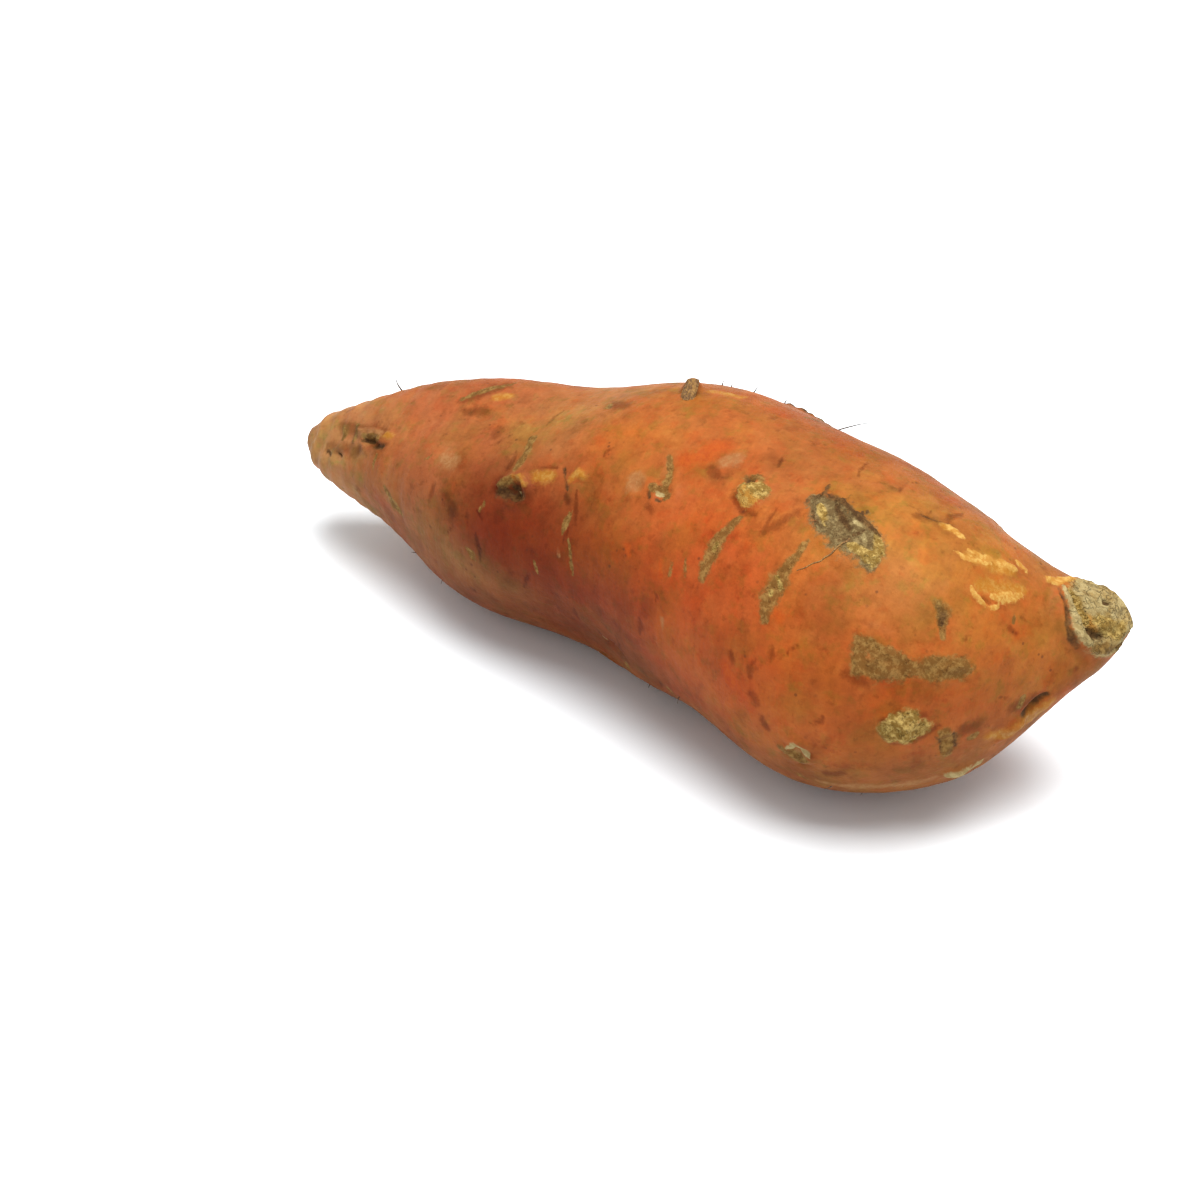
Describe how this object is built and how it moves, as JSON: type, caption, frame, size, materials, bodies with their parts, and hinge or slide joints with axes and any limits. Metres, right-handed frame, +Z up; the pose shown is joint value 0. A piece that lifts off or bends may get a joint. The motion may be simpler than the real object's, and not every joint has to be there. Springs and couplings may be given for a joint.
{
  "type": "sweet potato",
  "caption": "Whole raw sweet potato lying on its side: a bent, swollen root with a tapered root tip, a corky stem end, shallow eyes and scars.",
  "frame": {"origin": "on the ground under the middle of the box round the root", "axes": "+Z up, +X along the root from its thin root tip towards its stem end, +Y towards the back, away from the side that the picture shows"},
  "size_m": [0.2084, 0.0902, 0.0671],
  "materials": {
    "skin": "matt copper-orange skin with darker scars and pale cork"
  },
  "bodies": {
    "root": {"sweet_potato": "skin"}
  },
  "joints": []
}
